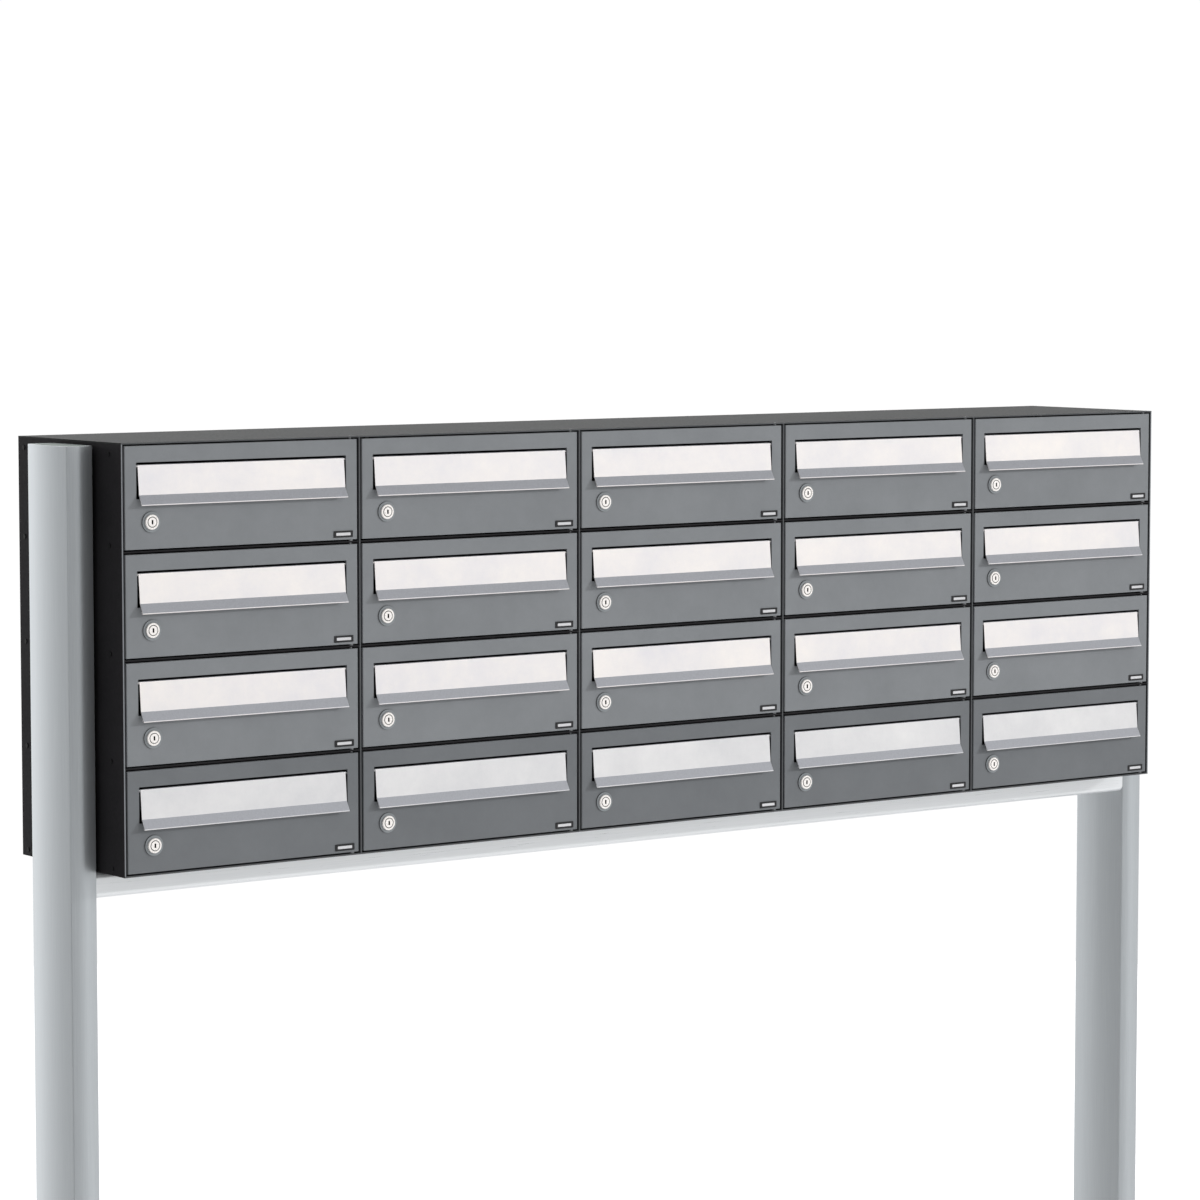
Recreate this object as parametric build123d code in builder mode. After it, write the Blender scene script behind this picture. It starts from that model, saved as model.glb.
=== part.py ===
"""Cluster mailbox unit: five columns by four rows of locking mailboxes in one steel casing, on two posts.

+X runs along the front to the right, +Y into the depth and +Z up. The origin is on the floor, under the
centre of the whole unit. A mailbox is drawn once in its own cell frame, whose origin is at the cell's
centre on the plane of the door's outer face, and is then repeated over the grid of cells.
"""

from build123d import *
import os

os.makedirs("parts", exist_ok=True)

# ---------------------------------------------------------------- driving dimensions, in millimetres
COLUMNS = 5
ROWS = 4
PITCH_X = 385.0  # from one column line to the next
PITCH_Z = 148.0  # from one shelf to the next
DEPTH = 285.0  # of the casing
CASING_TOP = 1650.0  # height of the roof over the floor
SHEET = 2.0  # steel of the casing

DOOR_GAP_X = 3.25  # between a door and the partition beside it
DOOR_GAP_Z = 2.25  # between a door and the shelf under or over it
DOOR_SHEET = 1.5
DOOR_RETURN = 15.0  # depth of the door's folded edges
DOOR_BEND = 1.2  # outer radius of the door's folds
HINGE_INSET = 7.5  # hinge axis from the door's right-hand edge
HINGE_SETBACK = 7.0  # hinge axis behind the door's outer face
HINGE_PIN_R = 2.0
PIN_COLLAR_R = 4.0
PIN_END = 1.5  # length of pin past the door's folded edge
RUNNING = 0.05  # radial clearance of a pin in its hole
SEAT_GAP = 0.1  # between a pin's collar and the door on it

SLOT_WIDTH = 340.0
SLOT_TOP = 26.0  # below the top of the cell
SLOT_BOTTOM = 76.0  # below the top of the cell

FLAP_WIDTH = 334.0
FLAP_SHEET = 1.0
FLAP_AXIS_DROP = 31.0  # flap's axis below the top of the cell
FLAP_AXIS_BACK = 3.5  # flap's axis behind the door's outer face
FLAP_ROD_R = 1.5
FLAP_BEND_DROP = 70.5  # where the flap folds into its lip
FLAP_BEND_OUT = 1.9  # the middle of the sheet in front of the door there
FLAP_LIP_DROP = 83.4
FLAP_LIP_OUT = 9.2
FLAP_BEND_R = 1.5
HEM = 3.0  # height of the folded hem behind the lip's edge
LIP_PROUD = 9.765  # the lip's foremost point in front of the door's outer face
LUG_THICK = 2.0
LUG_HALF = 4.0  # half the height of a lug that holds the flap's rod
LUG_BACK = 6.0  # how far a lug stands behind the door's sheet
LUG_CLEAR = 0.5  # between the slot's end and a lug

LOCK_FROM_LEFT = 45.0  # lock's axis from the left of the cell
LOCK_DROP = 107.6  # lock's axis below the top of the cell
LOCK_FLANGE_R = 14.35
LOCK_FLANGE_THICK = 1.6
LOCK_FACE_R = 10.35
LOCK_PROUD = 4.0  # lock's face in front of the door
LOCK_BARREL_R = 9.5
LOCK_BARREL_BACK = 15.0
LOCK_HOLE_CLEAR = 0.1
LOCK_NUT_R = 12.5
LOCK_NUT_THICK = 3.0
PLUG_R = 6.5
PLUG_PROUD = 0.3  # plug's face in front of the lock's face
KEYWAY_WIDTH = 2.6
KEYWAY_HEIGHT = 6.0
KEYWAY_DEPTH = 5.0
CAM_BACK = 18.0  # cam's front face behind the door's outer face
CAM_THICK = 2.0
CAM_REACH = 33.0
CAM_HALF_WIDTH = 6.0
CAM_HUB_R = 7.0
CAM_STUD_R = 3.0
CAM_NUT_R = 5.5
CAM_NUT_THICK = 2.5
EDGE_BREAK = 0.4  # small chamfer on turned edges

STRIKE_REACH = 19.0  # strike's tongue from the partition
STRIKE_HALF_HEIGHT = 12.0
STRIKE_SHEET = 1.5
STRIKE_TO_CAM = 0.5
STRIKE_FLANGE = 22.0

PLATE_WIDTH = 32.0  # blank name plate
PLATE_HEIGHT = 9.4
PLATE_THICK = 0.8
PLATE_CORNER = 1.0
PLATE_FROM_RIGHT = 12.0
PLATE_OVER_BOTTOM = 6.7

CLEAT_LEG = 12.0
CLEAT_SHEET = 1.5
CLEAT_WIDTH = 20.0
CLEAT_SCREW_RISE = 7.0  # screw from the shelf that its cleat sits on
SCREW_R = 1.6
SCREW_LENGTH = 8.0
SCREW_HEAD_R = 3.5
SCREW_HEAD = 1.2
SIDE_SCREWS_FRONT = 33.0  # behind the casing's front edge
SIDE_SCREWS_REAR = 16.0  # before the casing's rear edge

POST_HALF_X = 20.0  # the post's corners
POST_HALF_Y = 54.0
POST_BULGE_X = 4.5  # how far the long faces bow out
POST_BULGE_Y = 4.0  # how far the short faces bow out
POST_WALL = 3.0
POST_EDGE_R = 2.5
POST_BACK = 120.0  # post's centre behind the casing's front
POST_TOP_DROP = 6.0  # post's top below the roof
SPACER_THIN = 2.0  # spacer between post and casing at its thinnest
SPACER_WIDTH = 40.0
SPACER_HEIGHT = 60.0
SPACER_CORNER = 8.0
CAP_TOP = 3.0
CAP_SKIRT = 16.0
CAP_SKIRT_WALL = 2.0

BASE_X = 120.0
BASE_Y = 200.0
BASE_THICK = 10.0
BASE_CORNER = 8.0
ANCHOR_SPACING_X = 80.0
ANCHOR_SPACING_Y = 160.0
ANCHOR_HOLE_R = 7.0

BAR_HEIGHT = 36.0
BAR_DEPTH = 60.0
BAR_WALL = 3.0
BAR_EDGE_R = 9.0

BOLT_R = 4.0
BOLT_HOLE_R = 4.25
BOLT_HEAD_R = 7.5
BOLT_HEAD = 5.3
BOLT_PAST_NUT = 2.0
NUT_THICK = 6.5
NUT_CLEAR = 0.3

# ---------------------------------------------------------------- worked-out places
CASING_W = COLUMNS * PITCH_X + SHEET
CASING_H = ROWS * PITCH_Z + SHEET
CASING_BOTTOM = CASING_TOP - CASING_H
DOOR_W = PITCH_X - SHEET - 2 * DOOR_GAP_X
DOOR_H = PITCH_Z - SHEET - 2 * DOOR_GAP_Z
CELL_TOP = PITCH_Z / 2
CELL_LEFT = -PITCH_X / 2
HINGE_X = DOOR_W / 2 - HINGE_INSET
FLAP_AXIS_Z = CELL_TOP - FLAP_AXIS_DROP
LOCK_X = CELL_LEFT + LOCK_FROM_LEFT
LOCK_Z = CELL_TOP - LOCK_DROP
FRONT_WALLS = Plane.XZ  # its normal points out of the front, so an offset moves towards the viewer

# The lip is the foremost point, and the rear screw heads are the rearmost one.
FRONT_Y = (LIP_PROUD - DEPTH - SCREW_HEAD) / 2
REAR_Y = FRONT_Y + DEPTH
POST_Y = FRONT_Y + POST_BACK
POST_X = CASING_W / 2 + SPACER_THIN + POST_HALF_X + POST_BULGE_X
POST_TOP = CASING_TOP - POST_TOP_DROP
BAR_Y = POST_Y - POST_HALF_Y + BAR_DEPTH / 2
INNER_DEPTH = DEPTH - SHEET


def column_line(index):
    """X of the middle of the partition to the left of column `index`."""
    return -CASING_W / 2 + SHEET / 2 + index * PITCH_X


def shelf_line(index):
    """Z of the middle of the shelf under row `index`, counted from the bottom."""
    return CASING_BOTTOM + SHEET / 2 + index * PITCH_Z


def cell_centre(column, row):
    """Origin of a cell's frame. Columns count from the left and rows from the top, both from 1."""
    x = column_line(column - 1) + PITCH_X / 2
    z = shelf_line(ROWS - row) + PITCH_Z / 2
    return Location((x, FRONT_Y, z))


CELLS = [(column, row) for column in range(1, COLUMNS + 1) for row in range(1, ROWS + 1)]
LIVE_LOCK_COLUMN = 1  # the column whose lock plugs are pieces of their own


def write(shape, label):
    """Name one finished piece, or one group of like pieces, and save it."""
    shape.label = label
    export_step(shape, f"parts/{label}.step")


# ---------------------------------------------------------------- door
def make_door():
    """Folded steel tray with the mail slot, the lock's hole, hinge holes and lugs for the flap's rod."""
    slot_height = SLOT_BOTTOM - SLOT_TOP
    slot_z = CELL_TOP - (SLOT_TOP + SLOT_BOTTOM) / 2
    lug_x = SLOT_WIDTH / 2 + LUG_CLEAR + LUG_THICK / 2
    with BuildPart() as tray:
        with BuildSketch(FRONT_WALLS.offset(-DOOR_RETURN)):
            Rectangle(DOOR_W, DOOR_H)
        extrude(amount=DOOR_RETURN)
        fillet(tray.faces().sort_by(Axis.Y)[0].edges(), radius=DOOR_BEND)
        with BuildSketch(FRONT_WALLS.offset(-DOOR_RETURN)):
            Rectangle(DOOR_W - 2 * DOOR_SHEET, DOOR_H - 2 * DOOR_SHEET)
        extrude(amount=DOOR_RETURN - DOOR_SHEET, mode=Mode.SUBTRACT)
        with BuildSketch(FRONT_WALLS.offset(-DOOR_SHEET)):
            with Locations((0, slot_z)):
                Rectangle(SLOT_WIDTH, slot_height)
            with Locations((LOCK_X, LOCK_Z)):
                Circle(LOCK_BARREL_R + LOCK_HOLE_CLEAR)
        extrude(amount=DOOR_SHEET, mode=Mode.SUBTRACT)
        with BuildSketch(Plane.XY.offset(-DOOR_H / 2)):
            with Locations((HINGE_X, HINGE_SETBACK)):
                Circle(HINGE_PIN_R + RUNNING)
        extrude(amount=DOOR_H, mode=Mode.SUBTRACT)
        for side in (-1, 1):
            with BuildSketch(Plane.YZ.offset(side * lug_x)):
                with Locations((DOOR_SHEET + LUG_BACK / 2, FLAP_AXIS_Z)):
                    Rectangle(LUG_BACK, 2 * LUG_HALF)
                with Locations((FLAP_AXIS_BACK, FLAP_AXIS_Z)):
                    Circle(FLAP_ROD_R + RUNNING, mode=Mode.SUBTRACT)
            extrude(amount=LUG_THICK / 2, both=True)
    return tray.part


def make_name_plate():
    """Blank name plate at the door's lower right."""
    x = PITCH_X / 2 - PLATE_FROM_RIGHT - PLATE_WIDTH / 2
    z = -CELL_TOP + PLATE_OVER_BOTTOM + PLATE_HEIGHT / 2
    with BuildPart() as plate:
        with BuildSketch(FRONT_WALLS):
            with Locations((x, z)):
                RectangleRounded(PLATE_WIDTH, PLATE_HEIGHT, PLATE_CORNER)
        extrude(amount=PLATE_THICK)
    return plate.part


# ---------------------------------------------------------------- flap
def make_flap():
    """Sheet that hangs from a rolled knuckle and ends in a hemmed lip turned out for the fingers."""
    top = (FLAP_AXIS_BACK - FLAP_ROD_R - FLAP_SHEET / 2, FLAP_AXIS_Z)
    bend = (-FLAP_BEND_OUT, CELL_TOP - FLAP_BEND_DROP)
    tip = (-FLAP_LIP_OUT, CELL_TOP - FLAP_LIP_DROP)
    lip = (Vector(*tip) - Vector(*bend)).normalized()
    inward = Vector(-lip.Y, lip.X)
    fold = Vector(*tip) + inward * FLAP_SHEET
    hem_top = fold - lip * HEM
    with BuildPart() as sheet:
        with BuildSketch(Plane.YZ):
            with BuildLine():
                FilletPolyline(top, bend, tip, radius=FLAP_BEND_R)
            trace(line_width=FLAP_SHEET)
            with BuildLine():
                Line((fold.X, fold.Y), (hem_top.X, hem_top.Y))
            trace(line_width=FLAP_SHEET)
            with Locations(((tip[0] + fold.X) / 2, (tip[1] + fold.Y) / 2)):
                Circle(FLAP_SHEET)
            with Locations((FLAP_AXIS_BACK, FLAP_AXIS_Z)):
                Circle(FLAP_ROD_R + FLAP_SHEET)
                Circle(FLAP_ROD_R, mode=Mode.SUBTRACT)
        extrude(amount=FLAP_WIDTH / 2, both=True)
    return sheet.part


def make_flap_rod():
    """Steel rod held in the flap's knuckle, whose ends turn in the door's lugs."""
    reach = SLOT_WIDTH / 2 + LUG_CLEAR + LUG_THICK + LUG_CLEAR
    with BuildPart() as rod:
        with BuildSketch(Plane.YZ):
            with Locations((FLAP_AXIS_BACK, FLAP_AXIS_Z)):
                Circle(FLAP_ROD_R)
        extrude(amount=reach, both=True)
    return rod.part


# ---------------------------------------------------------------- lock
def turned(radius, front, back):
    """Disc on the lock's axis, from `front` to `back` behind the door's outer face."""
    with BuildSketch(FRONT_WALLS.offset(-back)) as disc:
        with Locations((LOCK_X, LOCK_Z)):
            Circle(radius)
    extrude(disc.sketch, amount=back - front)


def bored(radius, front, back):
    """Hole on the lock's axis, from `front` to `back` behind the door's outer face."""
    with BuildSketch(FRONT_WALLS.offset(-back)) as disc:
        with Locations((LOCK_X, LOCK_Z)):
            Circle(radius)
    extrude(disc.sketch, amount=back - front, mode=Mode.SUBTRACT)


def make_lock_housing():
    """Flanged barrel through the door, bored for the plug."""
    with BuildPart() as housing:
        turned(LOCK_FACE_R, -LOCK_PROUD, -LOCK_FLANGE_THICK)
        chamfer(housing.edges().sort_by(Axis.Y)[0], length=EDGE_BREAK)
        turned(LOCK_FLANGE_R, -LOCK_FLANGE_THICK, 0)
        flange_rim = housing.edges().filter_by(GeomType.CIRCLE).filter_by(
            lambda edge: abs(edge.radius - LOCK_FLANGE_R) < RUNNING)
        chamfer(flange_rim.sort_by(Axis.Y)[0], length=EDGE_BREAK)
        turned(LOCK_BARREL_R, 0, LOCK_BARREL_BACK)
        bored(PLUG_R + RUNNING, -LOCK_PROUD, LOCK_BARREL_BACK)
    return housing.part


def make_lock_nut():
    """Hexagon nut that holds the lock to the back of the door's sheet."""
    with BuildPart() as nut:
        with BuildSketch(FRONT_WALLS.offset(-DOOR_SHEET - LOCK_NUT_THICK)):
            with Locations((LOCK_X, LOCK_Z)):
                RegularPolygon(LOCK_NUT_R, 6)
                Circle(LOCK_BARREL_R, mode=Mode.SUBTRACT)
        extrude(amount=LOCK_NUT_THICK)
    return nut.part


def make_lock_plug():
    """Plug with its keyway, and the stud that carries the cam."""
    with BuildPart() as plug:
        turned(PLUG_R, -LOCK_PROUD - PLUG_PROUD, CAM_BACK)
        chamfer(plug.edges().sort_by(Axis.Y)[0], length=EDGE_BREAK / 2)
        turned(CAM_STUD_R, CAM_BACK, CAM_BACK + CAM_THICK + CAM_NUT_THICK)
        with BuildSketch(FRONT_WALLS.offset(LOCK_PROUD + PLUG_PROUD - KEYWAY_DEPTH)):
            with Locations((LOCK_X, LOCK_Z)):
                Rectangle(KEYWAY_WIDTH, KEYWAY_HEIGHT)
        extrude(amount=KEYWAY_DEPTH, mode=Mode.SUBTRACT)
    return plug.part


def make_cam():
    """Flat cam, hanging down where the lock is open, with a round end."""
    with BuildPart() as cam:
        with BuildSketch(FRONT_WALLS.offset(-CAM_BACK - CAM_THICK)):
            with Locations((LOCK_X, LOCK_Z)):
                Circle(CAM_HUB_R)
            with Locations((LOCK_X, LOCK_Z - CAM_REACH / 2)):
                Rectangle(2 * CAM_HALF_WIDTH, CAM_REACH - 2 * CAM_HALF_WIDTH)
            with Locations((LOCK_X, LOCK_Z - CAM_REACH + CAM_HALF_WIDTH)):
                Circle(CAM_HALF_WIDTH)
            with Locations((LOCK_X, LOCK_Z)):
                Circle(CAM_STUD_R, mode=Mode.SUBTRACT)
        extrude(amount=CAM_THICK)
    return cam.part


def make_cam_nut():
    """Small hexagon nut that clamps the cam."""
    with BuildPart() as nut:
        with BuildSketch(FRONT_WALLS.offset(-CAM_BACK - CAM_THICK - CAM_NUT_THICK)):
            with Locations((LOCK_X, LOCK_Z)):
                RegularPolygon(CAM_NUT_R, 6)
                Circle(CAM_STUD_R, mode=Mode.SUBTRACT)
        extrude(amount=CAM_NUT_THICK)
    return nut.part


# ---------------------------------------------------------------- the twenty mailboxes
door_pieces = [make_door(), make_lock_housing(), make_lock_nut(), make_name_plate()]
lock_pieces = [make_lock_plug(), make_cam(), make_cam_nut()]
flap_pieces = [make_flap(), make_flap_rod()]

for cell_column, cell_row in CELLS:
    cell_name = f"c{cell_column}_r{cell_row}"
    place = cell_centre(cell_column, cell_row)
    has_live_lock = cell_column == LIVE_LOCK_COLUMN
    on_door = door_pieces if has_live_lock else door_pieces + lock_pieces
    write(Compound([piece.moved(place).solid() for piece in on_door]), f"door_{cell_name}")
    write(Compound([piece.moved(place).solid() for piece in flap_pieces]), f"flap_{cell_name}")
    if has_live_lock:
        write(Compound([piece.moved(place).solid() for piece in lock_pieces]), f"lock_{cell_name}")

# ---------------------------------------------------------------- roof, floor and back
pin_places = [(column_line(column) - SHEET / 2 - DOOR_GAP_X - HINGE_INSET, FRONT_Y + HINGE_SETBACK)
              for column in range(1, COLUMNS + 1)]
column_middles = [column_line(column) + PITCH_X / 2 for column in range(COLUMNS)]


def level_screw_z(level):
    """Height of the cleat screws at a shelf line: over it, or under the roof at the top."""
    if level == ROWS:
        return CASING_TOP - SHEET - 2 * CLEAT_SCREW_RISE
    return shelf_line(level) + SHEET / 2 + CLEAT_SCREW_RISE


def flat_panel(top):
    """Roof or floor sheet with the hinge pins' holes; the roof covers the side panels' edges."""
    with BuildPart() as panel:
        with BuildSketch(Plane.XY.offset(top - SHEET)):
            with Locations((0, (FRONT_Y + REAR_Y) / 2)):
                Rectangle(CASING_W, DEPTH)
            with Locations(*pin_places):
                Circle(HINGE_PIN_R, mode=Mode.SUBTRACT)
        extrude(amount=SHEET)
    return panel.part


write(flat_panel(CASING_TOP), "roof_panel")
write(flat_panel(CASING_BOTTOM + SHEET), "floor_panel")

with BuildPart() as back_panel:
    with BuildSketch(FRONT_WALLS.offset(-REAR_Y)):
        with Locations((0, CASING_BOTTOM + CASING_H / 2)):
            Rectangle(CASING_W - 2 * SHEET, CASING_H - 2 * SHEET)
        with Locations(*[(x, level_screw_z(level)) for x in column_middles for level in range(ROWS + 1)]):
            Circle(SCREW_R, mode=Mode.SUBTRACT)
    extrude(amount=SHEET)
write(back_panel.part, "back_panel")

# ---------------------------------------------------------------- side panels
side_screw_places = [(y, level_screw_z(level))
                     for y in (FRONT_Y + SIDE_SCREWS_FRONT, REAR_Y - SIDE_SCREWS_REAR)
                     for level in range(ROWS + 1)]
bolt_places = [(POST_Y, shelf_line(level) + PITCH_Z / 2) for level in (0, ROWS - 1)]

with BuildPart() as side_panels:
    for side in (-1, 1):
        with BuildSketch(Plane.YZ.offset(side * (CASING_W - SHEET) / 2)):
            with Locations(((FRONT_Y + REAR_Y) / 2, CASING_BOTTOM + CASING_H / 2)):
                Rectangle(DEPTH, CASING_H - 2 * SHEET)
            with Locations(*side_screw_places):
                Circle(SCREW_R, mode=Mode.SUBTRACT)
            with Locations(*bolt_places):
                Circle(BOLT_HOLE_R, mode=Mode.SUBTRACT)
        extrude(amount=SHEET / 2, both=True)
write(side_panels.part, "side_panels")

# ---------------------------------------------------------------- partitions and shelves
with BuildPart() as column_partitions:
    with BuildSketch(Plane.XY.offset(CASING_BOTTOM + SHEET)):
        with Locations(*[(column_line(line), FRONT_Y + INNER_DEPTH / 2) for line in range(1, COLUMNS)]):
            Rectangle(SHEET, INNER_DEPTH)
    extrude(amount=CASING_H - 2 * SHEET)
write(column_partitions.part, "column_partitions")

with BuildPart() as shelves:
    for level in range(1, ROWS):
        with BuildSketch(Plane.XY.offset(shelf_line(level) - SHEET / 2)):
            with Locations(*[(x, FRONT_Y + INNER_DEPTH / 2) for x in column_middles]):
                Rectangle(PITCH_X - SHEET, INNER_DEPTH)
            with Locations(*pin_places):
                Circle(HINGE_PIN_R, mode=Mode.SUBTRACT)
        extrude(amount=SHEET)
write(shelves.part, "shelves")

# ---------------------------------------------------------------- hinge pins
pin_reach = SHEET / 2 + DOOR_GAP_Z + DOOR_SHEET + PIN_END
with BuildPart() as hinge_pins:
    for level in range(ROWS + 1):
        down = SHEET / 2 if level == 0 else pin_reach
        up = SHEET / 2 if level == ROWS else pin_reach
        with BuildSketch(Plane.XY.offset(shelf_line(level) - down)):
            with Locations(*pin_places):
                Circle(HINGE_PIN_R)
        extrude(amount=down + up)
    for level in range(ROWS):
        with BuildSketch(Plane.XY.offset(shelf_line(level) + SHEET / 2)):
            with Locations(*pin_places):
                Circle(PIN_COLLAR_R)
        extrude(amount=DOOR_GAP_Z - SEAT_GAP)
write(hinge_pins.part, "hinge_pins")


# ---------------------------------------------------------------- strikes
def make_strike():
    """Bent strike on the partition, whose tongue the cam turns in behind."""
    wall = CELL_LEFT + SHEET / 2
    tongue_back = CAM_BACK - STRIKE_TO_CAM
    with BuildPart() as strike:
        with BuildSketch(Plane.XY.offset(LOCK_Z - STRIKE_HALF_HEIGHT)):
            with Locations((wall, tongue_back - STRIKE_SHEET)):
                Rectangle(STRIKE_REACH, STRIKE_SHEET, align=(Align.MIN, Align.MIN))
                Rectangle(STRIKE_SHEET, STRIKE_FLANGE, align=(Align.MIN, Align.MIN))
        extrude(amount=2 * STRIKE_HALF_HEIGHT)
    return strike.part


strike_solid = make_strike()
strikes = [strike_solid.moved(cell_centre(column, row)).solid() for column, row in CELLS]
write(Compound(strikes), "strike_plates")


# ---------------------------------------------------------------- cleats and casing screws
def make_cleat():
    """Angle with its upright leg on the XZ plane at y = 0 and its foot on z = 0, centred on x = 0."""
    with BuildPart() as cleat:
        with BuildSketch(Plane.YZ):
            Rectangle(CLEAT_SHEET, CLEAT_LEG, align=(Align.MAX, Align.MIN))
            Rectangle(CLEAT_LEG, CLEAT_SHEET, align=(Align.MAX, Align.MIN))
        extrude(amount=CLEAT_WIDTH / 2, both=True)
        with BuildSketch(Plane.XZ):
            with Locations((0, CLEAT_SCREW_RISE)):
                Circle(SCREW_R)
        extrude(amount=CLEAT_SHEET, mode=Mode.SUBTRACT)
    return cleat.part


def make_high_cleat():
    """The same angle with a taller leg, used upside down under the roof."""
    with BuildPart() as cleat:
        with BuildSketch(Plane.YZ):
            Rectangle(CLEAT_SHEET, CLEAT_LEG + CLEAT_SCREW_RISE, align=(Align.MAX, Align.MIN))
            Rectangle(CLEAT_LEG, CLEAT_SHEET, align=(Align.MAX, Align.MIN))
        extrude(amount=CLEAT_WIDTH / 2, both=True)
        with BuildSketch(Plane.XZ):
            with Locations((0, 2 * CLEAT_SCREW_RISE)):
                Circle(SCREW_R)
        extrude(amount=CLEAT_SHEET, mode=Mode.SUBTRACT)
    return mirror(cleat.part, about=Plane.XY)


def make_screw():
    """Pan-head screw along -Y, its head behind y = 0."""
    with BuildPart() as screw:
        with BuildSketch(Plane.XZ):
            Circle(SCREW_R)
        extrude(amount=SCREW_LENGTH)
        with BuildSketch(Plane.XZ.offset(-SCREW_HEAD)):
            Circle(SCREW_HEAD_R)
        extrude(amount=SCREW_HEAD)
        chamfer(screw.edges().sort_by(Axis.Y)[-1], length=EDGE_BREAK)
    return screw.part


low_cleat = make_cleat()
high_cleat = make_high_cleat()
one_screw = make_screw()
cleat_solids = []
screw_solids = []
for level in range(ROWS + 1):
    cleat = high_cleat if level == ROWS else low_cleat
    seat_z = CASING_TOP - SHEET if level == ROWS else shelf_line(level) + SHEET / 2
    screw_z = level_screw_z(level)
    for x in column_middles:
        cleat_solids.append(cleat.moved(Location((x, REAR_Y - SHEET, seat_z))).solid())
        screw_solids.append(one_screw.moved(Location((x, REAR_Y, screw_z))).solid())
    for side in (-1, 1):
        turn = -90 * side  # turns the angle's upright leg onto that side's wall
        for y in (FRONT_Y + SIDE_SCREWS_FRONT, REAR_Y - SIDE_SCREWS_REAR):
            inner = (side * (CASING_W / 2 - SHEET), y, seat_z)
            outer = (side * CASING_W / 2, y, screw_z)
            cleat_solids.append(cleat.moved(Location(inner, (0, 0, turn))).solid())
            screw_solids.append(one_screw.moved(Location(outer, (0, 0, turn))).solid())
write(Compound(cleat_solids), "shelf_cleats")
write(Compound(screw_solids), "casing_screws")


# ---------------------------------------------------------------- posts
def bowed_outline(half_x, half_y, bulge_x, bulge_y):
    """Closed outline with four corners and four faces that bow out."""
    right_top = (half_x, half_y)
    left_top = (-half_x, half_y)
    left_low = (-half_x, -half_y)
    right_low = (half_x, -half_y)
    ThreePointArc(right_top, (0, half_y + bulge_y), left_top)
    ThreePointArc(left_top, (-half_x - bulge_x, 0), left_low)
    ThreePointArc(left_low, (0, -half_y - bulge_y), right_low)
    ThreePointArc(right_low, (half_x + bulge_x, 0), right_top)


def bowed_face(side, height, inset):
    """The post's section on one side of the casing at a height, with its outline drawn in by `inset`."""
    with BuildSketch(Plane.XY.offset(height)) as section:
        with BuildLine(Location((side * POST_X, POST_Y))):
            bowed_outline(POST_HALF_X - inset, POST_HALF_Y - inset, POST_BULGE_X, POST_BULGE_Y)
        make_face()
        fillet(section.vertices(), radius=POST_EDGE_R)
    return section.sketch


def make_post(side):
    """Hollow aluminium post on one side of the casing, drilled for its bolts."""
    length = POST_TOP - BASE_THICK
    with BuildPart() as post:
        extrude(bowed_face(side, BASE_THICK, 0), amount=length)
        extrude(bowed_face(side, BASE_THICK, POST_WALL), amount=length, mode=Mode.SUBTRACT)
        with BuildSketch(Plane.YZ.offset(side * POST_X)):
            with Locations(*bolt_places):
                Circle(BOLT_HOLE_R)
        extrude(amount=-side * (POST_HALF_X + 2 * POST_BULGE_X), mode=Mode.SUBTRACT)
    return post.part


write(make_post(-1), "left_post")
write(make_post(1), "right_post")

cap_solids = []
for side in (-1, 1):
    skirt_low = POST_TOP - CAP_SKIRT
    with BuildPart() as cap:
        extrude(bowed_face(side, skirt_low, POST_WALL), amount=CAP_SKIRT)
        extrude(bowed_face(side, skirt_low, POST_WALL + CAP_SKIRT_WALL), amount=CAP_SKIRT - CAP_TOP,
                mode=Mode.SUBTRACT)
    cap_solids.append(cap.part.solid())
write(Compound(cap_solids), "post_caps")

with BuildPart() as base_plates:
    with BuildSketch(Plane.XY):
        with Locations((-POST_X, POST_Y), (POST_X, POST_Y)):
            RectangleRounded(BASE_X, BASE_Y, BASE_CORNER)
            with GridLocations(ANCHOR_SPACING_X, ANCHOR_SPACING_Y, 2, 2):
                Circle(ANCHOR_HOLE_R, mode=Mode.SUBTRACT)
    extrude(amount=BASE_THICK)
write(base_plates.part, "base_plates")

# ---------------------------------------------------------------- crossbar
bar_z = CASING_BOTTOM - BAR_HEIGHT / 2
with BuildPart() as crossbar:
    with BuildSketch(Plane.YZ) as bar_section:
        with Locations((BAR_Y, bar_z)):
            Rectangle(BAR_DEPTH, BAR_HEIGHT)
        fillet(bar_section.vertices().group_by(Axis.Z)[0], radius=BAR_EDGE_R)
        offset(amount=-BAR_WALL, kind=Kind.ARC, mode=Mode.SUBTRACT)
    extrude(amount=POST_X, both=True)
    for side in (-1, 1):
        extrude(bowed_face(side, CASING_BOTTOM, 0), amount=-BAR_HEIGHT, mode=Mode.SUBTRACT)
write(crossbar.solids().sort_by(SortBy.VOLUME)[-1], "crossbar")

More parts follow.
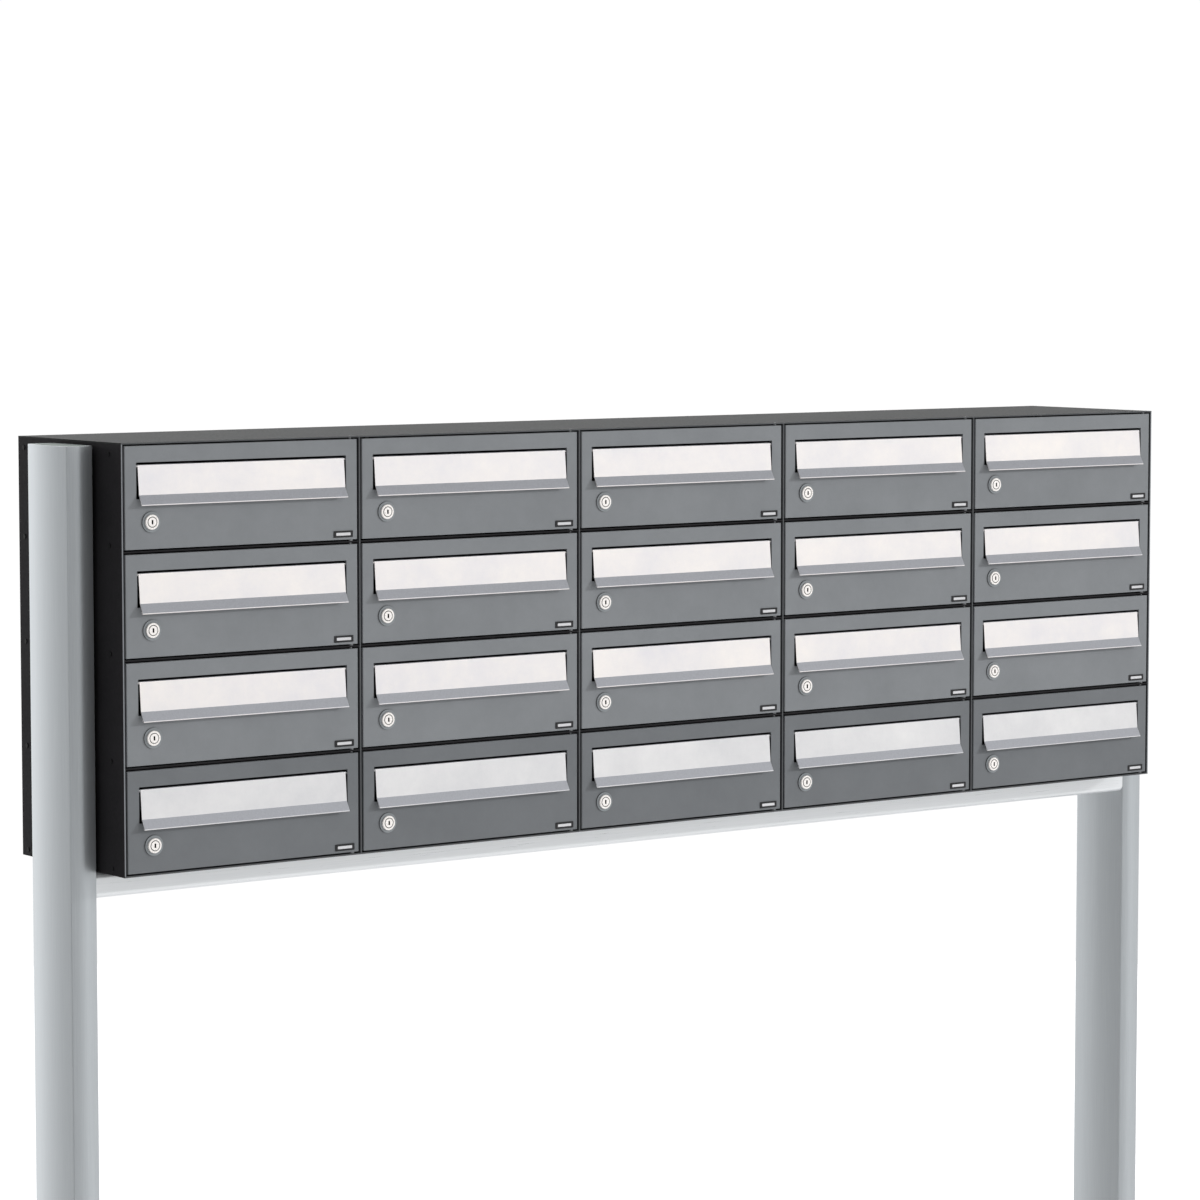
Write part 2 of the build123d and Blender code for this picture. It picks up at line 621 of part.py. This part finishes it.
# ---------------------------------------------------------------- post fixings
wall_inner = CASING_W / 2 - SHEET
post_wall_inner = CASING_W / 2 + SPACER_THIN + POST_WALL
fixing_solids = []
for side in (-1, 1):
    for bolt_y, bolt_z in bolt_places:
        with BuildPart() as bolt:
            with BuildSketch(Plane.YZ.offset(side * (wall_inner - BOLT_HEAD))):
                with Locations((bolt_y, bolt_z)):
                    RegularPolygon(BOLT_HEAD_R, 6)
            extrude(amount=side * BOLT_HEAD)
            with BuildSketch(Plane.YZ.offset(side * wall_inner)):
                with Locations((bolt_y, bolt_z)):
                    Circle(BOLT_R)
            extrude(amount=side * (post_wall_inner + NUT_CLEAR + NUT_THICK + BOLT_PAST_NUT - wall_inner))
        with BuildPart() as bolt_nut:
            with BuildSketch(Plane.YZ.offset(side * (post_wall_inner + NUT_CLEAR))):
                with Locations((bolt_y, bolt_z)):
                    RegularPolygon(BOLT_HEAD_R, 6)
                    Circle(BOLT_R, mode=Mode.SUBTRACT)
            extrude(amount=side * NUT_THICK)
        with BuildPart() as spacer:
            with BuildSketch(Plane.YZ.offset(side * CASING_W / 2)):
                with Locations((bolt_y, bolt_z)):
                    RectangleRounded(SPACER_WIDTH, SPACER_HEIGHT, SPACER_CORNER)
                    Circle(BOLT_HOLE_R, mode=Mode.SUBTRACT)
            extrude(amount=side * (SPACER_THIN + POST_BULGE_X))
            extrude(bowed_face(side, CASING_BOTTOM, 0), amount=CASING_H, mode=Mode.SUBTRACT)
        fixing_solids += [bolt.part.solid(), bolt_nut.part.solid(), spacer.part.solid()]
write(Compound(fixing_solids), "post_fixings")
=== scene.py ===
import math

import bmesh
import bpy
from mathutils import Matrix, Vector


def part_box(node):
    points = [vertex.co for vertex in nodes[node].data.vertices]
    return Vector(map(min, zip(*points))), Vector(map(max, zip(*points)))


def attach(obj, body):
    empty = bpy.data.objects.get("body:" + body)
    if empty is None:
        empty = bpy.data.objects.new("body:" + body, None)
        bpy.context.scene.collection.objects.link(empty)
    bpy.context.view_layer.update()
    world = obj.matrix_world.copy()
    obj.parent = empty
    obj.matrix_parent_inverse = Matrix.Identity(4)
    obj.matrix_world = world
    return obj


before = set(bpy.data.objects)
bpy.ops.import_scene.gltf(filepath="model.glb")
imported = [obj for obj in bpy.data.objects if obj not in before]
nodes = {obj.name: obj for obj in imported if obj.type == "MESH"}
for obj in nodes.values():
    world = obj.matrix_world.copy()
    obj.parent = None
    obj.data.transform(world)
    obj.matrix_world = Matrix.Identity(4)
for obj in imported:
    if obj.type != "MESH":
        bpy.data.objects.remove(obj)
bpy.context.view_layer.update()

MM = 0.001

# ---------------------------------------------------------------- places read from the frame
FRONT_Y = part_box("roof_panel")[0].y  # the casing's front edges and the doors' faces
sides_low, sides_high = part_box("side_panels")
CASING_MIDDLE = (sides_low + sides_high) / 2

# ---------------------------------------------------------------- camera
VIEW_AZIMUTH = math.radians(36.7)
VIEW_ELEVATION = math.radians(4.75)
VIEW_DISTANCE = 6.184
AIM = Vector((-0.155, FRONT_Y, 1.397))
LENS_MM = 126.0

camera = bpy.data.objects.new("camera", bpy.data.cameras.new("camera"))
bpy.context.scene.collection.objects.link(camera)
look = Vector((math.sin(VIEW_AZIMUTH) * math.cos(VIEW_ELEVATION),
               math.cos(VIEW_AZIMUTH) * math.cos(VIEW_ELEVATION),
               -math.sin(VIEW_ELEVATION)))
camera.location = AIM - look * VIEW_DISTANCE
camera.rotation_mode = "QUATERNION"
camera.rotation_quaternion = look.to_track_quat("-Z", "Y")
camera.data.lens = LENS_MM
camera.data.sensor_width = 36.0
camera.data.clip_end = 200.0
bpy.context.scene.camera = camera


# ---------------------------------------------------------------- material tools
# Noise scales are in cells to the metre.
COAT_MOTTLE = 7.0
COAT_SHEEN_MOTTLE = 240.0
COAT_GRAIN = 900.0
COAT_SCATTER = 0.06  # how far the coat's roughness strays
COAT_BUMP = 0.22
FLAP_MOTTLE = 9.0
SATIN_GRAIN = 420.0
DRAWN_GRAIN = 26.0
EVEN = (1, 1, 1)
DRAWN_UP = (60, 60, 0.5)  # grain of a profile drawn along Z
DRAWN_ACROSS = (0.5, 60, 60)  # grain of a profile drawn along X
BUMP_DEPTH = 0.2 * MM


def srgb(red, green, blue, alpha=1.0):
    """Linear colour from 0-255 display values."""
    def linear(value):
        v = value / 255
        return v / 12.92 if v <= 0.04045 else ((v + 0.055) / 1.055) ** 2.4
    return (linear(red), linear(green), linear(blue), alpha)


class Graph:
    """A material's node tree, with short calls for the nodes used here."""

    def __init__(self, name):
        self.material = bpy.data.materials.new(name)
        self.material.use_nodes = True
        self.tree = self.material.node_tree
        self.shader = self.tree.nodes["Principled BSDF"]
        self.coordinates = self.tree.nodes.new("ShaderNodeTexCoord").outputs["Object"]

    def link(self, source, target):
        self.tree.links.new(source, target)

    def noise(self, scale, detail=4.0, stretch=EVEN, roughness=0.55):
        mapping = self.tree.nodes.new("ShaderNodeMapping")
        mapping.inputs["Scale"].default_value = stretch
        self.link(self.coordinates, mapping.inputs["Vector"])
        texture = self.tree.nodes.new("ShaderNodeTexNoise")
        texture.inputs["Scale"].default_value = scale
        texture.inputs["Detail"].default_value = detail
        texture.inputs["Roughness"].default_value = roughness
        self.link(mapping.outputs["Vector"], texture.inputs["Vector"])
        return texture.outputs["Fac"]

    def ramp(self, source, low, high, start=0.3, end=0.7):
        ramp = self.tree.nodes.new("ShaderNodeValToRGB")
        ramp.color_ramp.elements[0].position = start
        ramp.color_ramp.elements[0].color = low
        ramp.color_ramp.elements[1].position = end
        ramp.color_ramp.elements[1].color = high
        self.link(source, ramp.inputs["Fac"])
        return ramp.outputs["Color"]

    def spread(self, source, low, high):
        """Value from `low` to `high` as the source goes from 0.3 to 0.7."""
        spread = self.tree.nodes.new("ShaderNodeMapRange")
        spread.inputs["From Min"].default_value = 0.3
        spread.inputs["From Max"].default_value = 0.7
        spread.inputs["To Min"].default_value = low
        spread.inputs["To Max"].default_value = high
        self.link(source, spread.inputs["Value"])
        return spread.outputs["Result"]

    def bump(self, height, strength):
        bump = self.tree.nodes.new("ShaderNodeBump")
        bump.inputs["Strength"].default_value = strength
        bump.inputs["Distance"].default_value = BUMP_DEPTH
        self.link(height, bump.inputs["Height"])
        self.link(bump.outputs["Normal"], self.shader.inputs["Normal"])


def powder_coat(name, dark, light, roughness, gloss):
    """Fine powder coat: small grain in the surface, slow mottling in the colour."""
    g = Graph(name)
    slow = g.ramp(g.noise(COAT_MOTTLE, 9.0, roughness=0.75), dark, light)
    g.link(slow, g.shader.inputs["Base Color"])
    sheen = g.spread(g.noise(COAT_SHEEN_MOTTLE, 3.0), roughness - COAT_SCATTER, roughness + COAT_SCATTER)
    g.link(sheen, g.shader.inputs["Roughness"])
    g.shader.inputs["Specular IOR Level"].default_value = gloss
    g.bump(g.noise(COAT_GRAIN, 2.0), COAT_BUMP)
    return g.material


def metal(name, dark, light, roughness, scale, bump, metallic=1.0, stretch=EVEN, mottle=None, scatter=0.07):
    """Satin metal with a fine grain, drawn out by a stretch. Its tone follows the grain or a slow mottle."""
    g = Graph(name)
    grain = g.noise(scale, 6.0, stretch)
    tone = g.noise(mottle, 9.0, roughness=0.7) if mottle else grain
    g.link(g.ramp(tone, dark, light), g.shader.inputs["Base Color"])
    g.link(g.spread(grain, roughness - scatter, roughness + scatter), g.shader.inputs["Roughness"])
    g.shader.inputs["Metallic"].default_value = metallic
    g.bump(grain, bump)
    return g.material


door_grey = powder_coat("door_grey", srgb(117, 120, 123), srgb(127, 130, 133), 0.5, 0.3)
# The lowest row's darker door grey is painted shade.
door_grey_shaded = powder_coat("door_grey_shaded", srgb(100, 103, 106), srgb(109, 112, 115), 0.5, 0.28)
flange_grey = powder_coat("flange_grey", srgb(120, 125, 128), srgb(131, 135, 138), 0.36, 0.5)
casing_black = powder_coat("casing_black", srgb(30, 29, 31), srgb(39, 38, 40), 0.55, 0.06)
inner_grey = powder_coat("inner_grey", srgb(66, 68, 70), srgb(76, 78, 80), 0.55, 0.15)
# The lighter greys on the casing's and partitions' front sheet edges are painted highlights.
side_edge_highlight = powder_coat("side_edge_highlight", srgb(112, 115, 119), srgb(126, 129, 133), 0.4, 0.4)
partition_edge_highlight = powder_coat("partition_edge_highlight", srgb(70, 72, 74), srgb(82, 84, 86), 0.45, 0.3)
roof_finish = powder_coat("roof_finish", srgb(34, 36, 36), srgb(41, 43, 43), 0.62, 0.14)
flap_steel = metal("flap_steel", srgb(224, 222, 225), srgb(241, 236, 232), 0.4, SATIN_GRAIN, 0.25,
                   metallic=0.5, mottle=FLAP_MOTTLE)
# The lowest row's darker flap steel is painted shade.
flap_steel_shaded = metal("flap_steel_shaded", srgb(210, 210, 212), srgb(228, 227, 227), 0.4, SATIN_GRAIN, 0.25,
                       metallic=0.5, mottle=FLAP_MOTTLE)
# The lip is the flap's own steel made darker: painted shade.
lip_steel_shaded = metal("lip_steel_shaded", srgb(184, 186, 192), srgb(196, 198, 204), 0.36, SATIN_GRAIN, 0.12)
nickel = metal("nickel", srgb(238, 233, 229), srgb(250, 247, 244), 0.3, 500.0, 0.05, metallic=0.3)
zinc = metal("zinc", srgb(150, 152, 154), srgb(178, 180, 182), 0.4, 220.0, 0.1)
galvanised = metal("galvanised", srgb(150, 154, 158), srgb(182, 185, 188), 0.45, 40.0, 0.08)
aluminium = metal("aluminium", srgb(190, 195, 199), srgb(199, 204, 207), 0.32, DRAWN_GRAIN, 0.02,
                  metallic=0.74, stretch=DRAWN_UP, scatter=0.03)
# The crossbar is the posts' aluminium in a lighter copy: painted light.
bar_aluminium_lit = metal("bar_aluminium_lit", srgb(229, 232, 234), srgb(238, 240, 242), 0.34, DRAWN_GRAIN, 0.03,
                      metallic=0.6, stretch=DRAWN_ACROSS)
cap_grey = powder_coat("cap_grey", srgb(96, 106, 102), srgb(106, 116, 111), 0.6, 0.3)
screw_black = powder_coat("screw_black", srgb(9, 9, 10), srgb(15, 15, 16), 0.5, 0.2)
shadow_black = powder_coat("shadow_black", srgb(20, 18, 18), srgb(27, 25, 25), 0.7, 0.1)
plate_black = powder_coat("plate_black", srgb(22, 22, 24), srgb(30, 30, 32), 0.35, 0.4)
plate_label = powder_coat("plate_label", srgb(192, 192, 195), srgb(206, 206, 208), 0.5, 0.3)

# ---------------------------------------------------------------- finishes of the CAD pieces
FLANGE_FRONT = 1.6 * MM  # how far the lock's flange stands in front of the door
FLANGE_R = 14.4 * MM
FLANGE_RIM_R = 13.0 * MM  # walls beyond this radius are the flange's dark rim, a painted shadow
LOCK_FACE_R = 10.5 * MM
LOCK_FACE_FRONT = 4.0 * MM
PLATE_FRONT = 0.8 * MM
HARDWARE_BACK = 1.6 * MM  # nuts and barrels start behind the door's sheet
HARDWARE_R = 13.0 * MM
CAM_BACK = 17.9 * MM  # the cam and its nut start here
KEYWAY_HALF_WIDTH = 1.35 * MM
KEYWAY_HALF_HEIGHT = 3.05 * MM
NUDGE = 0.05 * MM
INWARD_LEAST = 0.1  # an inner face lies at least this far from the casing's middle
FACES_FRONT = -0.9  # a normal's y on a face that looks to the front
FACES_SIDEWAYS = 0.5  # a normal's y is within this on a wall that looks sideways
FACES_UP = 0.4  # a normal's z on a face that leans upwards
LOCK_FROM_CENTRE = Vector((-147.5, 0, -33.6)) * MM
PLATE_FROM_CENTRE = Vector((164.5, 0, -62.6)) * MM


def dress(node, materials, chooser=None):
    """Gives a CAD node its materials. The chooser picks one for each face from its centre and normal."""
    mesh = nodes[node].data
    mesh.materials.clear()
    for material in materials:
        mesh.materials.append(material)
    for polygon in mesh.polygons:
        polygon.material_index = chooser(polygon.center, polygon.normal) if chooser else 0


def front_edge(centre, normal):
    """1 on the sheet edges that face the front, where most pieces take a painted highlight."""
    return 1 if normal.y < FACES_FRONT and centre.y < FRONT_Y + NUDGE else 0


def panel_side(centre, normal):
    """Slots: 0 outside, 1 the front edge with its painted highlight, 2 the side that faces the compartments.
    """
    if front_edge(centre, normal):
        return 1
    inwards = CASING_MIDDLE - centre
    return 2 if normal.dot(inwards) > INWARD_LEAST else 0


def door_middle(name):
    """Middle of a door's front face."""
    low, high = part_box("door_" + name)
    return Vector(((low.x + high.x) / 2, FRONT_Y, (low.z + high.z) / 2))


def keyway(offset):
    """Whether a face of the lock's plug lies in its keyway, which is painted in shadow."""
    inside = abs(offset.x) < KEYWAY_HALF_WIDTH and abs(offset.z) < KEYWAY_HALF_HEIGHT
    return inside and -LOCK_FACE_FRONT - 4 * NUDGE < offset.y < 0


def door_chooser(name):
    """Slots: 0 tray, 1 flange, 2 lock face, 3 keyway and flange rim in painted shadow, 4 name plate, 5
    hardware behind.
    """
    lock = door_middle(name) + LOCK_FROM_CENTRE

    def choose(centre, normal):
        offset = centre - lock
        radius = math.hypot(offset.x, offset.z)
        if offset.y > CAM_BACK or (offset.y > HARDWARE_BACK and radius < HARDWARE_R):
            return 5
        if offset.y > -NUDGE:
            return 0
        if radius > FLANGE_R:
            return 4
        # Painted shadow on the flange's outer wall and in the keyway.
        if radius > FLANGE_RIM_R and abs(normal.y) < FACES_SIDEWAYS:
            return 3
        if keyway(offset):
            return 3
        return 2 if offset.y < -FLANGE_FRONT - NUDGE and radius < LOCK_FACE_R else 1

    return choose


def lip_face(centre, normal):
    """1 on the lip's upper face, which slopes out from the flap and takes a darker steel as painted shade.
    """
    return 1 if normal.z > FACES_UP and normal.y < 0 else 0


def lock_chooser(name):
    """Slots: 0 plug, 1 keyway in painted shadow, 2 cam and its nut."""
    lock = door_middle(name) + LOCK_FROM_CENTRE

    def choose(centre, normal):
        offset = centre - lock
        if offset.y > CAM_BACK:
            return 2
        return 1 if keyway(offset) else 0

    return choose


for name in ("floor_panel", "back_panel"):
    dress(name, [casing_black, partition_edge_highlight, inner_grey], panel_side)
dress("column_partitions", [inner_grey, partition_edge_highlight], front_edge)
dress("shelves", [inner_grey, casing_black], front_edge)
dress("side_panels", [casing_black, side_edge_highlight, inner_grey], panel_side)
dress("roof_panel", [roof_finish, partition_edge_highlight, inner_grey], panel_side)
for name in ("left_post", "right_post"):
    dress(name, [aluminium])
dress("crossbar", [bar_aluminium_lit])
dress("post_caps", [cap_grey])
dress("base_plates", [galvanised])
for name in ("post_fixings", "hinge_pins", "strike_plates", "shelf_cleats"):
    dress(name, [zinc])
dress("casing_screws", [screw_black])
boxes = [name[len("door_"):] for name in nodes if name.startswith("door_")]
for name in boxes:
    # The lowest row takes the darker copies of door grey and flap steel: painted shade.
    low_row = name.endswith("r4")
    dress("door_" + name, [door_grey_shaded if low_row else door_grey, flange_grey, nickel, shadow_black,
                           plate_black, zinc], door_chooser(name))
    dress("flap_" + name, [flap_steel_shaded if low_row else flap_steel, lip_steel_shaded], lip_face)
    if "lock_" + name in nodes:
        dress("lock_" + name, [nickel, shadow_black, zinc], lock_chooser(name))

# ---------------------------------------------------------------- painted shadow in the lock seams, and plate inserts
SEAM_INNER_R = 6.3 * MM
SEAM_OUTER_R = 7.5 * MM
SEAM_SIDES = 48
INSERT_HALF = (12.0 * MM, 2.0 * MM)
INSERT_CORNER = 0.8 * MM
SKIN = 0.06 * MM


def flat_piece(mesh, outline, hole, middle, front, slot):
    """Adds a thin flat piece to a mesh: its outline, with a hole or none, this far in front of the door."""
    count = len(outline)
    rings = [outline] + ([hole] if hole else [])
    layers = []
    for depth in (front, front + SKIN):
        layers.append([[mesh.verts.new(middle + Vector((x, -depth, z))) for x, z in ring] for ring in rings])
    back, face = layers
    faces = []
    if hole:
        for i in range(count):
            j = (i + 1) % count
            faces.append(mesh.faces.new((face[0][i], face[0][j], face[1][j], face[1][i])))
    else:
        faces.append(mesh.faces.new(face[0]))
    for ring, (low, high) in enumerate(zip(back, face)):
        for i in range(count):
            j = (i + 1) % count
            order = (low[i], low[j], high[j], high[i]) if ring == 0 else (low[j], low[i], high[i], high[j])
            faces.append(mesh.faces.new(order))
    for polygon in faces:
        polygon.material_index = slot


def circle(radius):
    """Outline of a circle."""
    steps = [2 * math.pi * i / SEAM_SIDES for i in range(SEAM_SIDES)]
    return [(radius * math.cos(a), radius * math.sin(a)) for a in steps]


def rounded(half, corner):
    """Outline of a rounded rectangle, the same way round as `circle`."""
    points = []
    for quarter, (sx, sz) in enumerate(((1, 1), (-1, 1), (-1, -1), (1, -1))):
        for step in range(5):
            a = math.pi / 2 * (quarter + step / 4)
            points.append((sx * (half[0] - corner) + corner * math.cos(a),
                           sz * (half[1] - corner) + corner * math.sin(a)))
    return points


def make_trim(name):
    """Ring of painted shadow in the seam round the lock's plug, and the pale blank insert of the name plate.
    """
    middle = door_middle(name)
    work = bmesh.new()
    lock = middle + LOCK_FROM_CENTRE
    # Painted shadow: a thin dark ring sheet in the seam round the plug.
    flat_piece(work, circle(SEAM_OUTER_R), circle(SEAM_INNER_R), lock, LOCK_FACE_FRONT, 0)
    plate = middle + PLATE_FROM_CENTRE
    flat_piece(work, rounded(INSERT_HALF, INSERT_CORNER), None, plate, PLATE_FRONT, 1)
    bmesh.ops.recalc_face_normals(work, faces=work.faces)
    mesh = bpy.data.meshes.new("trim_" + name)
    work.to_mesh(mesh)
    work.free()
    mesh.materials.append(shadow_black)
    mesh.materials.append(plate_label)
    trim = bpy.data.objects.new("trim_" + name, mesh)
    bpy.context.scene.collection.objects.link(trim)
    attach(trim, "door_" + name)


for name in boxes:
    make_trim(name)

# ---------------------------------------------------------------- floor, world and lights
FLOOR_RADIUS = 5.0
FLOOR_SIDES = 96
FLOOR_GLOW = 0.45


def make_floor():
    """Round pale floor, nearly white. It isn't mirrored, so the posts shade evenly down to their feet."""
    mesh = bpy.data.meshes.new("floor")
    rim = [(FLOOR_RADIUS * math.cos(2 * math.pi * i / FLOOR_SIDES),
            FLOOR_RADIUS * math.sin(2 * math.pi * i / FLOOR_SIDES), 0.0) for i in range(FLOOR_SIDES)]
    mesh.from_pydata(rim, [], [tuple(range(FLOOR_SIDES))])
    floor = bpy.data.objects.new("floor", mesh)
    bpy.context.scene.collection.objects.link(floor)
    g = Graph("floor_white")
    tone = g.ramp(g.noise(3.0), (0.84, 0.84, 0.84, 1), (0.87, 0.87, 0.87, 1))
    g.link(tone, g.shader.inputs["Base Color"])
    g.shader.inputs["Roughness"].default_value = 0.9
    g.shader.inputs["Specular IOR Level"].default_value = 0.0
    g.shader.inputs["Emission Color"].default_value = (1, 1, 1, 1)
    g.shader.inputs["Emission Strength"].default_value = FLOOR_GLOW
    mesh.materials.append(g.material)
    floor.visible_glossy = False


def direction(azimuth, elevation):
    """Unit vector. Azimuth 0 is out of the unit's front, and 90 degrees is to its right."""
    a, e = math.radians(azimuth), math.radians(elevation)
    return (math.sin(a) * math.cos(e), -math.cos(a) * math.cos(e), math.sin(e))


WORLD_BASE = 0.5
BACKDROP_WHITE = 1.02
# azimuth, elevation, sharpness, added radiance
WORLD_PANELS = [
    (35, 20, 24, 2.05),
    (60, 54, 10, -0.25),
    (172, 4, 5, 1.5),
    (-115, 0, 5, -0.2),
    (-14, 0, 7, -0.15),
    (84, 0, 14, 0.1),
    (14, -8, 12, -0.15),
    (128, 5, 14, 0.75),
    (30, -50, 4, 0.6),
]


def make_world():
    """Studio surround: even light with softer and stronger panels, and plain white behind everything."""
    world = bpy.data.worlds.new("studio")
    bpy.context.scene.world = world
    world.use_nodes = True
    tree = world.node_tree
    background = tree.nodes["Background"]
    towards = tree.nodes.new("ShaderNodeTexCoord").outputs["Generated"]

    def maths(kind, first, second):
        """A maths node on two inputs, each a number or another node's output."""
        node = tree.nodes.new("ShaderNodeMath")
        node.operation = kind
        for socket, value in zip(node.inputs, (first, second)):
            if isinstance(value, (int, float)):
                socket.default_value = value
            else:
                tree.links.new(value, socket)
        return node.outputs[0]

    total = WORLD_BASE
    for azimuth, elevation, sharpness, amount in WORLD_PANELS:
        dot = tree.nodes.new("ShaderNodeVectorMath")
        dot.operation = "DOT_PRODUCT"
        dot.inputs[1].default_value = direction(azimuth, elevation)
        tree.links.new(towards, dot.inputs[0])
        fall = maths("MULTIPLY", maths("SUBTRACT", dot.outputs["Value"], 1.0), sharpness)
        panel = maths("MULTIPLY", maths("EXPONENT", fall, 0.0), amount)
        total = maths("ADD", panel, total)
    seen = tree.nodes.new("ShaderNodeLightPath").outputs["Is Camera Ray"]
    lit = maths("MULTIPLY", maths("SUBTRACT", 1.0, seen), total)
    tree.links.new(maths("ADD", lit, maths("MULTIPLY", seen, BACKDROP_WHITE)), background.inputs["Strength"])
    background.inputs["Color"].default_value = (1, 1, 1, 1)


def soft_box(name, place, target, size, power):
    """Soft lamp that lights and shades but isn't mirrored, so the surround alone makes the reflections."""
    lamp = bpy.data.lights.new(name, "AREA")
    lamp.shape = "RECTANGLE"
    lamp.size, lamp.size_y = size
    lamp.energy = power
    light = bpy.data.objects.new(name, lamp)
    light.location = place
    light.rotation_mode = "QUATERNION"
    light.rotation_quaternion = (Vector(target) - Vector(place)).to_track_quat("-Z", "Y")
    light.visible_glossy = False
    bpy.context.scene.collection.objects.link(light)


make_floor()
make_world()
soft_box("key", (10.3, -6.9, 4.8), (0, 0, 1.2), (1.0, 1.0), 820)
soft_box("overhead", (-1.0, 1.5, 5.5), (0, 0, 0), (4.0, 4.0), 120)
bpy.context.scene.view_settings.view_transform = "Standard"
